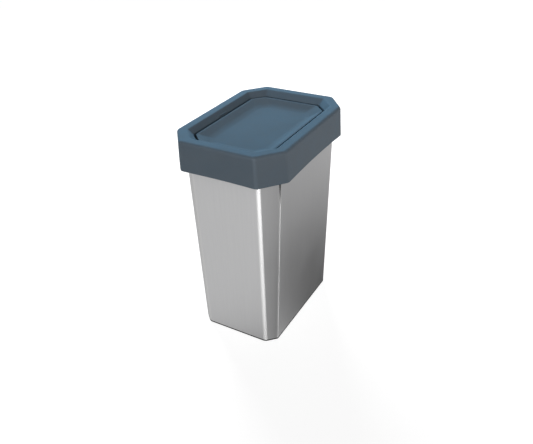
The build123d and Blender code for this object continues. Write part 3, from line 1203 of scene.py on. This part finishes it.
@dataclass
class Hood(SubAssembly):
    """The moulding over the can's top: skirt, rim, sloped throat, neck, fins, housings and stops.

    throat_loops are shares of the way down the throat. hem_radii are the outer and inner radius of the
    lower edge. An arch is half its span and its rise, and fin_lead is how far a fin's lead-in goes back
    and up. A bite is how far a solid reaches into the wall that it joins or opens.
    """

    body: Body = Body.HOOD
    crown: Outline = Outline((100.0, 140.0), (32.5, 40.0), 9.0)
    hem: Outline = Outline((103.2, 140.0), (33.6, 41.4), 9.0)
    rim: Outline = Outline((82.3, 122.5), (25.0, 28.0), 4.0)
    neck: Outline = NECK
    bottom: float = 328.0
    top: float = 380.0
    wall: float = 2.5
    neck_wall: float = 2.4
    throat_depth: float = 9.0
    neck_depth: float = 22.0
    edge_radius: float = 5.0
    edge_margin: float = 1.0
    rim_radius: float = 1.5
    rim_margin: float = 0.7
    throat_loops: Pair = (0.3, 0.8)
    throat_radius: float = 0.4
    neck_margin: float = 2.0
    neck_lip: float = 0.6
    hem_radii: Pair = (0.9, 0.6)
    side_arch: Pair = (95.0, 3.0)
    end_arch: Pair = (62.0, 1.0)
    trim_half: Pair = (91.7, 126.0)
    fin_clearance: float = 0.6
    fin_thickness: float = 2.0
    fin_depth: float = 28.0
    fin_lead: Pair = (2.0, 6.0)
    fin_seat: float = 373.8
    fin_notch: float = 4.5
    side_fins: tuple[float, ...] = (-70.0, -28.0, 28.0, 70.0)
    end_fins: tuple[float, ...] = (-40.0, 40.0)
    pivot_height: float = 365.0
    block_x: Pair = (78.1, 86.5)
    block_half_width: float = 7.1
    block_low: float = 353.0
    block_high: float = 370.6
    block_radius: float = 2.0
    bite: float = 0.5
    rail: float = 2.0
    rail_groove: float = 1.2
    rail_start: float = 1.0
    rail_end: float = 3.0
    tongue_half: float = 1.1
    overrun: float = 5.0
    slot_half_width: float = 3.3
    slot_drop: float = 9.0
    slot_bite: float = 0.1
    swing_limit: float = 80.0
    finger_half_width: float = 1.8
    shoulder_proud: float = 2.4
    shoulder_height: float = 3.0
    shoulder_reach: float = 9.0
    shoulder_gap: float = 0.4
    shoulder_radius: float = 0.5

    @property
    def form(self) -> Taper:
        """The hood's outer form, whose long sides lean in towards the top."""
        return Taper(self.crown, self.hem, (self.top, self.bottom))

    @property
    def neck_heights(self) -> Pair:
        """Heights of the neck's lower edge and of its upper one, where the throat starts."""
        neck_top = self.top - self.throat_depth
        return neck_top - self.neck_depth, neck_top

    def build(self, plastic: Material, acetal: Material) -> None:
        """Makes and places the hood and dresses its bearing blocks.

        Args:
            plastic: finish of the hood.
            acetal: finish of the bearing blocks.
        """
        shell = self.shell()
        self.arch_skirt(shell)
        self.round_edges(shell)
        combine(shell, Join.ADD, self.housings())
        combine(shell, Join.ADD, self.shoulders())
        low_x, high_x = self.neck.half[0] - CLEAR, self.block_x[0] + self.slot_bite
        wide = self.slot_half_width
        slot = block((low_x, high_x), (-wide, wide), (self.block_low - self.slot_drop, self.pivot_height))
        combine(shell, Join.CUT, with_twin(slot))
        combine(shell, Join.CUT, with_twin(rod(wide, low_x, high_x, self.pivot_height)))
        combine(shell, Join.ADD, self.fins())
        self.place(smooth(shell), "hood_shell", Slot.HOOD_PLASTIC, plastic)
        for side in ("left", "right"):
            self.dress(f"bearing_block_{side}", acetal)

    def shell(self) -> Piece:
        """Walls of the hood, from the skirt's outer edge over the rim, down the neck and back.

        Returns:
            The walls as one closed shell.
        """
        ring, ceiling = self.form.ring, self.top - self.wall
        neck_low, neck_top = self.neck_heights
        neck_out, rim_out = (outline.grown(self.neck_wall) for outline in (self.neck, self.rim))
        share = (ceiling - neck_top) / self.throat_depth
        margin = self.edge_radius + self.edge_margin
        rim_start = self.rim.grown(self.rim_radius + self.rim_margin)
        slope = [
            (self.rim.blended(self.neck, part), self.top - part * self.throat_depth)
            for part in self.throat_loops]
        return bridge_loops("hood_moulding", [
            (self.hem, self.bottom), ring(self.top - margin), (self.crown, self.top),
            (self.crown.grown(-margin), self.top), (rim_start, self.top), (self.rim, self.top), *slope,
            (self.neck, neck_top), (self.neck, neck_top - self.neck_margin),
            (self.neck, neck_low), (neck_out, neck_low), (neck_out, neck_top),
            (neck_out.blended(rim_out, share), ceiling), ring(ceiling, self.wall),
            ring(self.bottom, self.wall)])

    def arch_skirt(self, shell: Piece) -> None:
        """Lifts the skirt's lower edge into a shallow arch along each side and each end.

        Args:
            shell: the hood's walls.
        """
        limit = self.bottom + TOUCH
        for axis, (span, rise) in ((1, self.side_arch), (0, self.end_arch)):
            face = self.hem.half[1 - axis]
            radius = (span ** 2 + rise ** 2) / (2 * rise)
            stations = sorted({
                round(abs(vertex.co[axis]) / MM, 3) for vertex in shell.data.vertices
                if vertex.co.z / MM < limit and abs(vertex.co[1 - axis]) / MM > face - self.wall - TOUCH
                and abs(vertex.co[axis]) / MM < span})
            for station in stations:
                lift = math.sqrt(radius ** 2 - station ** 2) - (radius - rise)
                shift(
                    shell,
                    lambda v: v.z < limit and abs(abs(v[axis]) - station) < TOUCH
                    and abs(v[1 - axis]) > face - self.wall - TOUCH,
                    (0, 0, lift))

    def round_edges(self, shell: Piece) -> None:
        """Rounds every edge of the hood as its mould does.

        Args:
            shell: the hood's walls.
        """
        neck_low, neck_top = self.neck_heights
        bevel_rings(
            shell, (self.crown, self.top, self.edge_radius, 7), (self.rim, self.top, self.rim_radius, 4),
            (self.neck, neck_top, self.throat_radius, 2), (self.neck, neck_low, self.neck_lip, 2),
            (self.neck.grown(self.neck_wall), neck_low, self.neck_lip, 2))
        crest = self.bottom + self.side_arch[1] + TOUCH
        outer, inner = self.hem_radii
        bevel(shell, lambda v: v.z < crest and self.hem.carries(v), outer, 3)
        bevel(shell, lambda v: v.z < crest and self.hem.grown(-self.wall).carries(v), inner, 2)

    def fin(self, across: int) -> Piece:
        """A fin that centres the hood on the can, drawn at its distance from the middle along X.

        Args:
            across: 0 for a fin of the long sides, 1 for one of the ends.

        Returns:
            The fin, its root in the middle of the hood's wall.
        """
        inner = self.trim_half[across] + self.fin_clearance
        low, high = self.top - self.fin_depth, self.top - self.wall / 2
        root_low, root_high = (
            self.form.section(height, self.wall / 2).half[across] for height in (low, high))
        thick = self.fin_thickness / 2
        fin = block((inner, root_high), (-thick, thick), (low, high))
        shift(fin, lambda v: v.x > root_high - TOUCH and v.z < low + TOUCH, (root_low - root_high, 0, 0))
        for height in (low + self.fin_lead[1], self.fin_seat):
            cut_across(fin, (0, 0, height), (0, 0, 1))
        with editing(fin):
            pick(fin, "FACE", lambda v: v.x < inner + TOUCH and v.z > self.fin_seat - TOUCH)
            bpy.ops.mesh.extrude_region_move(
                TRANSFORM_OT_translate={"value": (-(self.fin_notch + self.fin_clearance) * MM, 0, 0)})
        shift(fin, lambda v: v.x < inner + TOUCH and v.z < low + TOUCH, (self.fin_lead[0], 0, 0))
        return fin

    def fins(self) -> list[Piece]:
        """Rows of fins along the two long walls and the two short ones.

        Returns:
            The fins.
        """
        fins = []
        for across, first_turn, places in ((0, 0, self.side_fins), (1, 90, self.end_fins)):
            fin = self.fin(across)
            for turn in (first_turn, first_turn + 180):
                fins += [copy_at(fin, turn, (0, place, 0)) for place in places]
            bpy.data.objects.remove(fin)
        return fins

    def housings(self) -> list[Piece]:
        """Rails on the outside of the neck that take the bearing blocks from below.

        Returns:
            The two housings.
        """
        low_x, high_x = self.block_x
        wide = self.block_half_width
        reach = wide + self.rail + self.rail_groove
        rails = block(
            (self.neck.half[0] + self.bite, high_x), (-reach, reach),
            (self.block_low + self.rail_start, self.block_high + self.rail_end))
        under = self.block_low - self.overrun
        seat = block((low_x, high_x + CLEAR), (-wide, wide), (under, self.block_high))
        bevel(
            seat, lambda v: abs(v.z - self.block_high) < TOUCH and abs(abs(v.y) - wide) < TOUCH,
            self.block_radius, 4)
        combine(rails, Join.CUT, [seat])
        middle, groove = (low_x + high_x) / 2, wide + self.rail_groove
        combine(rails, Join.CUT, [block(
            (middle - self.tongue_half, middle + self.tongue_half), (-groove, groove),
            (under, self.pivot_height))])
        return with_twin(rails)

    def shoulders(self) -> list[Piece]:
        """Shoulders on the neck's inner face that stop the flap's fingers at the end of a swing.

        Returns:
            The four shoulders.
        """
        inner = self.neck.half[0] - self.shoulder_proud
        solids = []
        for side in (-1, 1):
            for end in (-1, 1):
                bar = block(
                    (inner, self.neck.half[0] + self.bite),
                    (self.slot_half_width + self.shoulder_gap, self.shoulder_reach),
                    (self.finger_half_width, self.finger_half_width + self.shoulder_height))
                bevel(bar, lambda v: v.x < inner + TOUCH, self.shoulder_radius, 2)
                turn = Matrix.Rotation(math.radians(self.swing_limit - 90), 4, "X")
                mirror = Matrix.Diagonal((side, end, 1, 1))
                bar.matrix_world = Matrix.Translation((0, 0, self.pivot_height * MM)) @ mirror @ turn
                take(bar)
                settle()
                with editing(bar):
                    bpy.ops.mesh.select_all(action="SELECT")
                    bpy.ops.mesh.normals_make_consistent(inside=False)
                solids.append(bar)
        return solids


@dataclass
class Flap(SubAssembly):
    """The dished flap with its ribs, bosses and stop fingers, and its two pins.

    hollow_radius is the corner radius inside the rim wall, and inner_radius that of the dish's upper
    line and of its underside. edge_radii round the level edge outside and inside. slope_loops are
    shares of the way up the dish's slope.
    """

    body: Body = Body.FLAP
    outer: Outline = NECK.grown(-RUNNING_GAP, 2.5)
    floor: Outline = Outline((52.0, 90.0), (15.0, 18.0), 8.5)
    top: float = 371.0
    depth: float = 15.0
    dish: float = 9.0
    land: float = 3.0
    wall: float = 2.2
    floor_radius: float = 7.0
    rib: float = 1.6
    rib_foot: float = 2.0
    cross_ribs: tuple[float, ...] = (-72.0, -36.0, 0.0, 36.0, 72.0)
    long_ribs: tuple[float, ...] = (-34.0, 0.0, 34.0)
    pivot_height: float = 365.0
    pin_radius: float = 2.5
    pin_inner: float = 65.3
    boss_radius: float = 5.5
    boss_end: float = 4.0
    finger_half_width: float = 1.5
    finger_reach: float = 8.0
    finger_proud: float = 3.1
    finger_radius: float = 0.4
    hollow_radius: float = 3.0
    inner_radius: float = 4.0
    edge_radii: Pair = (0.5, 1.0)
    lip_radius: float = 0.6
    slope_loops: Pair = (0.5, 0.9)
    bite: float = 0.5

    def build(self, plastic: Material, bar: Material) -> None:
        """Makes and places the flap and dresses its pins.

        Args:
            plastic: finish of the flap.
            bar: finish of the pins.
        """
        panel = self.shell()
        for rib in self.ribs():
            combine(panel, Join.ADD, [rib])
        combine(panel, Join.ADD, self.bosses())
        combine(panel, Join.ADD, self.fingers())
        outside = self.outer.half[0] + self.finger_proud + CLEAR
        bore = rod(self.pin_radius, self.pin_inner, outside, self.pivot_height)
        combine(panel, Join.CUT, with_twin(bore))
        self.place(smooth(panel), "flap_panel", Slot.FLAP_PLASTIC, plastic)
        for side in ("left", "right"):
            self.dress(f"pivot_pin_{side}", bar)

    def land_inner(self) -> Outline:
        """Inner line of the level edge, where the dish starts."""
        return self.outer.grown(-self.land, self.inner_radius)

    def shell(self) -> Piece:
        """The dish with its level edge and deep rim wall, hollow from below.

        Returns:
            The dish.
        """
        low = self.top - self.depth
        floor_top = self.top - self.dish
        floor_low = floor_top - self.wall
        land = self.land_inner()
        ceiling = self.top - self.wall
        under_floor = self.floor.grown(self.wall / 2, self.inner_radius)
        under_land = land.grown(self.wall, self.inner_radius)
        share = (ceiling - floor_low) / (self.top - floor_low)
        inside = self.outer.grown(-self.wall, self.hollow_radius)
        slope = [(self.floor.blended(land, part), floor_top + part * self.dish) for part in self.slope_loops]
        panel = bridge_loops("flap_moulding", [
            (self.floor, floor_top), *slope, (land, self.top), (self.outer, self.top), (self.outer, low),
            (inside, low), (inside, ceiling), (under_floor.blended(under_land, share), ceiling),
            (under_floor, floor_low)], capped=True)
        bevel_rings(
            panel, (self.outer, self.top, self.edge_radii[0], 3), (land, self.top, self.edge_radii[1], 4),
            (self.floor, floor_top, self.floor_radius, 8), (self.outer, low, self.lip_radius, 2),
            (inside, low, self.lip_radius, 2))
        return panel

    def ribs(self) -> list[Piece]:
        """Ribs below the dish: a low bar under the floor that rises at both ends to the rim wall."""
        places = ((0, self.cross_ribs), (1, self.long_ribs))
        return [self.rib_along(axis, place) for axis, row in places for place in row]

    def rib_along(self, axis: int, place: float) -> Piece:
        """One rib.

        Args:
            axis: 0 for a rib along X, 1 for one along Y.
            place: where it crosses the other axis.

        Returns:
            The rib, its ends inside the rim wall.
        """
        edge, floor, land = (outline.half[axis] for outline in (self.outer, self.floor, self.land_inner()))
        low = self.top - self.depth + self.rib_foot
        middle = self.top - self.dish - self.wall / 2
        high = self.top - self.wall / 2
        tip = edge - self.wall / 2
        thick = self.rib / 2
        across = (place - thick, place + thick)
        ranges = [across, across]
        ranges[axis] = (-tip, tip)
        rib = block(*ranges, (low, middle))
        normal = Vector((1, 0, 0)) if axis == 0 else Vector((0, 1, 0))
        for side in (-1, 1):
            cut_across(rib, normal * side * floor, normal)
        with editing(rib):
            pick(rib, "FACE", lambda v: v.z > middle - TOUCH and abs(v[axis]) > floor - TOUCH)
            bpy.ops.mesh.extrude_region_move(
                TRANSFORM_OT_translate={"value": (0, 0, (high - middle) * MM)})
        for side in (-1, 1):
            slope = normal * side * (land - floor)
            shift(rib, lambda v: v.z > high - TOUCH and abs(v[axis] - side * floor) < TOUCH, slope)
        return rib

    def bosses(self) -> list[Piece]:
        """Bosses that hold the pins, trimmed under the dish's slope.

        Returns:
            The two bosses.
        """
        tip = self.outer.half[0] - self.wall / 2
        boss = rod(self.boss_radius, self.pin_inner - self.boss_end, tip, self.pivot_height)
        run = self.land_inner().half[0] - self.floor.half[0]
        slope = Vector((-self.dish, 0, run)).normalized()
        start = Vector((self.floor.half[0], 0, self.top - self.dish)) - slope * self.wall / 2
        cut_across(boss, start, slope, Half.BELOW)
        return with_twin(boss)

    def fingers(self) -> list[Piece]:
        """Fingers beside the pins that meet the neck's shoulders.

        Returns:
            The two fingers.
        """
        wide = self.finger_half_width
        edge = self.outer.half[0]
        finger = block(
            (edge - self.bite, edge + self.finger_proud), (-wide, wide),
            (self.pivot_height - self.finger_reach, self.pivot_height))
        bevel(finger, lambda v: v.x > edge + self.finger_proud - TOUCH, self.finger_radius, 2)
        return with_twin(finger)


# Studio


@dataclass(frozen=True)
class AreaLamp:
    """A softbox aimed at the object: its direction and distance, its size and its power."""

    name: str
    azimuth: float
    elevation: float
    distance: float
    size: Pair
    watts: float
    glow: Glow
    aim: Triple = (0, 0, 0.19)

    def make(self, steel: bpy.types.Collection) -> None:
        """Adds the lamp to the scene.

        Args:
            steel: holds the pieces that a gleam for the steel alone reaches.
        """
        around, up = math.radians(self.azimuth), math.radians(self.elevation)
        way = Vector((math.sin(around) * math.cos(up), -math.cos(around) * math.cos(up), math.sin(up)))
        data = bpy.data.lights.new(self.name, "AREA")
        data.shape = "RECTANGLE"
        data.size, data.size_y = self.size
        data.energy = self.watts
        lamp = bpy.data.objects.new(self.name, data)
        lamp.visible_diffuse = self.glow is Glow.LIGHT
        lamp.visible_glossy = self.glow is not Glow.LIGHT
        if self.glow is Glow.STEEL_GLEAM:
            lamp.light_linking.receiver_collection = steel
        lamp.location = Vector(self.aim) + way * self.distance
        lamp.rotation_euler = way.to_track_quat("Z", "Y").to_euler()
        bpy.context.scene.collection.objects.link(lamp)


@dataclass(frozen=True)
class Studio:
    """Pale floor, soft lamps, white surroundings and the camera at the photograph's angle.

    A reach or an edge is the pair of values between which a shade rises from 0 to 1, in millimetres on
    the floor. A way is the direction, as x and y, in which it rises.
    """

    floor_size: float = 8.0
    floor_bounce: float = 0.08
    floor_mirrored: float = 0.78
    floor_shadow: float = 0.20
    floor_white: float = 0.93
    white_reach: Pair = (350.0, 1300.0)
    # A painted shadow on the floor as the steel mirrors it, behind the can on its right
    painted_shadow_centre: Pair = (210.0, 20.0)
    painted_shadow_squeeze: float = 0.75
    painted_shadow_reach: Pair = (30.0, 650.0)
    painted_shadow_way: Pair = (0.75, 0.65)
    painted_shadow_edge: Pair = (-240.0, 110.0)
    # The floor glows towards the can on its right side: a painted bounce light
    painted_side_glow: float = 0.8
    side_glow_way: Pair = (0.5, 0.87)
    side_glow_edge: Pair = (0.0, 200.0)
    ambient: float = 0.04
    window: Triple = (-0.26, -0.97, 0.0)
    window_edge: Pair = (0.2, 1.0)
    mirrored_low: float = 0.16
    mirrored_high: float = 1.0
    mirrored_above: float = 0.65
    above_edge: Pair = (0.2, 0.8)
    lens: float = 40.81
    sensor: float = 36.0
    eye: Triple = (0.4825, -0.8135, 0.7622)
    target: Triple = (0.0031, 0.0, 0.1754)
    roll: float = -1.993

    def build(self, steel_pieces: list[Piece]) -> None:
        """Sets up the whole studio.

        Args:
            steel_pieces: the pieces that the steel's own gleams reach.
        """
        self.lay_floor()
        self.light_world()
        steel = bpy.data.collections.new("steel")
        for piece in steel_pieces:
            steel.objects.link(piece)
        for lamp in self.lamps():
            lamp.make(steel)
        self.place_camera()
        bpy.context.scene.view_settings.view_transform = "Standard"

    def lamps(self) -> list[AreaLamp]:
        """The softboxes: one behind the can that lights it, and four that only gleam on it.

        Returns:
            The lamps.
        """
        return [
            AreaLamp("rear_light", 224, 32, 1.9, (1.0, 1.0), 75, Glow.LIGHT),
            AreaLamp("front_gleam", 24, 12, 2.0, (1.4, 1.2), 17, Glow.GLEAM),
            AreaLamp("side_gleam", 104, 10, 1.6, (0.25, 1.2), 6, Glow.GLEAM),
            AreaLamp("fold_gleam", 24, 8, 2.0, (1.2, 1.2), 9, Glow.STEEL_GLEAM),
            AreaLamp("seam_gleam", 104, 4, 1.6, (0.25, 1.2), 14, Glow.STEEL_GLEAM),
        ]

    def lay_floor(self) -> None:
        """Lays the floor, which looks white to the camera and keeps the object's shadow. The steel mirrors it
        with a painted shadow behind the can on its right, and it glows on the can's right side as a painted
        bounce light.
        """
        clear_selection()
        bpy.ops.mesh.primitive_plane_add(size=self.floor_size)
        floor = bpy.context.object
        floor.name = "studio_floor"
        sheet = NodeSheet(bpy.data.materials.new("floor_white"))
        seen, mirrored, bounced = (sheet.ray(kind) for kind in ("Camera", "Glossy", "Diffuse"))
        bounce, unlit, shadowed = ((value,) * 3 for value in (self.floor_bounce, 0.0, self.floor_shadow))
        colour = sheet.tint(seen, sheet.tint(mirrored, bounce, unlit), shadowed)
        diffuse = sheet.node("ShaderNodeBsdfDiffuse", {}, {"Color": colour})
        x, y = sheet.axis("X"), sheet.axis("Y")
        away = (x * x + y * y).root().step(*self.white_reach)
        # Painted shadow: what the steel mirrors of the floor is darker behind the can on its right
        aside_x, aside_y = x - self.painted_shadow_centre[0], self.painted_shadow_squeeze * (y - self.painted_shadow_centre[1])
        beyond = (aside_x * aside_x + aside_y * aside_y).root().step(*self.painted_shadow_reach)
        dim_x, dim_y = self.painted_shadow_way
        sided = (dim_x * x + dim_y * y).step(*self.painted_shadow_edge)
        shown = self.floor_mirrored - self.floor_mirrored * sided * (1 - beyond)
        white = self.floor_white + (1 - self.floor_white) * away
        # Painted bounce light: the floor glows for diffuse rays on the can's right side
        side_glow_x, side_glow_y = self.side_glow_way
        side_glow_light = self.painted_side_glow * (side_glow_x * x + side_glow_y * y).step(*self.side_glow_edge)
        side_glow_light = side_glow_light * x.step(*self.side_glow_edge)
        strength = seen * white + mirrored * shown + bounced * side_glow_light
        glow = sheet.node("ShaderNodeEmission", {}, {"Color": (1, 1, 1, 1), "Strength": strength})
        both = sheet.node("ShaderNodeAddShader", {}, {0: diffuse.outputs[0], 1: glow.outputs[0]})
        sheet.node("ShaderNodeOutputMaterial", {}, {"Surface": both.outputs[0]})
        floor.data.materials.append(sheet.owner)

    def light_world(self) -> None:
        """Fills the surroundings with soft light and shows them white to the camera.

        What the steel mirrors is brightest in front and falls off towards the sides, as in a room
        with one large window.
        """
        sheet = NodeSheet(bpy.data.worlds.new("soft_white"))
        bpy.context.scene.world = sheet.owner
        seen, mirrored = sheet.ray("Camera"), sheet.ray("Glossy")
        way = sheet.node("ShaderNodeTexCoord", {}, {}).outputs["Generated"]
        towards = sheet.signal(
            "Value", "ShaderNodeVectorMath", {"operation": "DOT_PRODUCT"}, {0: way, 1: self.window})
        facing = towards.step(*self.window_edge)
        height = sheet.signal("Z", "ShaderNodeSeparateXYZ", {}, {"Vector": way})
        gloss = self.mirrored_low + (self.mirrored_high - self.mirrored_low) * facing
        gloss = gloss + self.mirrored_above * height.step(*self.above_edge)
        strength = self.ambient + mirrored * (gloss - self.ambient) + seen * (1 - self.ambient)
        light = sheet.node("ShaderNodeBackground", {}, {"Color": (1, 1, 1, 1), "Strength": strength})
        sheet.node("ShaderNodeOutputWorld", {}, {"Surface": light.outputs[0]})

    def place_camera(self) -> None:
        """Stands the camera where the photograph was taken from."""
        data = bpy.data.cameras.new("photo_camera")
        data.lens = self.lens
        data.sensor_width = self.sensor
        camera = bpy.data.objects.new("photo_camera", data)
        back = (Vector(self.eye) - Vector(self.target)).normalized()
        turn = back.to_track_quat("Z", "Y").to_matrix().to_4x4()
        lean = Matrix.Rotation(math.radians(self.roll), 4, "Z")
        camera.matrix_world = Matrix.Translation(self.eye) @ turn @ lean
        bpy.context.scene.collection.objects.link(camera)
        bpy.context.scene.camera = camera


def main() -> None:
    """Builds the can, the hood, the flap and the studio, and reports each piece."""
    logging.basicConfig(level=logging.INFO, format="%(message)s")
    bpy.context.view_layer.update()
    steel = BrushedSteel("can_steel").make()
    can = SteelBody()
    can.build(
        steel,
        MouldedPlastic("trim_plastic", (0.06, 0.065, 0.07)).make(),
        MouldedPlastic("base_plastic", (0.012, 0.012, 0.013), shine=0.3).make(),
        FootRubber("foot_rubber").make())
    hood = Hood()
    hood.build(
        MouldedPlastic("hood_plastic", (0.037, 0.097, 0.156)).make(),
        MouldedPlastic("bearing_plastic", (0.05, 0.055, 0.06), roughness=0.35, grain_depth=0.004).make())
    flap = Flap()
    flap.build(
        MouldedPlastic("flap_plastic", (0.028, 0.074, 0.118)).make(),
        DrawnBar("pin_steel").make())
    for assembly in (can, hood, flap):
        assembly.report()
    Studio().build([piece for piece in can.pieces if piece.data.materials[0] == steel])
    clear_selection()


if __name__ == "__main__":
    main()
